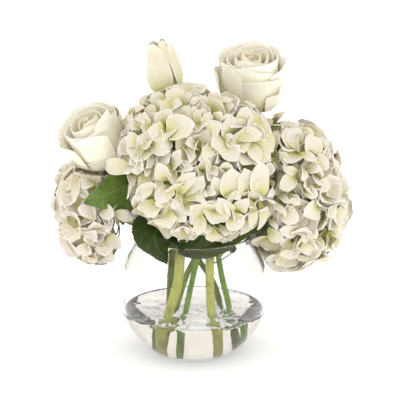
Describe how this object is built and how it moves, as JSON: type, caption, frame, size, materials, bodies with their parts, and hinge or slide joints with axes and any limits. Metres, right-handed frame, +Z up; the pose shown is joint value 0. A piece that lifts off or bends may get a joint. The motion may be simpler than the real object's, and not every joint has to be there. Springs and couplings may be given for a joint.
{
  "type": "floral table centerpiece",
  "caption": "Low round flower arrangement of hydrangea heads, roses and a closed tulip with leaves, standing in water in a clear glass fishbowl.",
  "frame": {"origin": "centre of the bowl's flat underside, on the surface it stands on", "axes": "+Z up along the bowl's axis, the arrangement's front faces -Y, +X is to the viewer's right"},
  "size_m": [0.3195, 0.1769, 0.3324],
  "materials": {
    "clear_glass": "polished",
    "water": "polished",
    "hydrangea_petals": "matte",
    "rose_petals": "satin",
    "tulip_petals": "satin",
    "pale_stem": "satin",
    "green_stem": "satin",
    "dark_stem": "satin",
    "green_leaf": "satin",
    "dark_leaf": "satin"
  },
  "bodies": {
    "root": {"glass_bowl": "clear_glass", "water": "water", "hydrangea_centre_head": "hydrangea_petals", "hydrangea_centre_stem": "pale_stem", "hydrangea_right_head": "hydrangea_petals", "hydrangea_right_stem": "pale_stem", "hydrangea_left_head": "hydrangea_petals", "hydrangea_left_stem": "dark_stem", "rose_left_bloom": "rose_petals", "rose_left_stem": "dark_stem", "rose_right_bloom": "rose_petals", "rose_right_stem": "green_stem", "tulip_bud": "tulip_petals", "tulip_stem": "green_stem", "leaf_left": "green_leaf", "leaf_rim_front": "dark_leaf", "leaf_rim_right": "dark_leaf", "leafy_stem_back": "dark_leaf"}
  },
  "joints": []
}
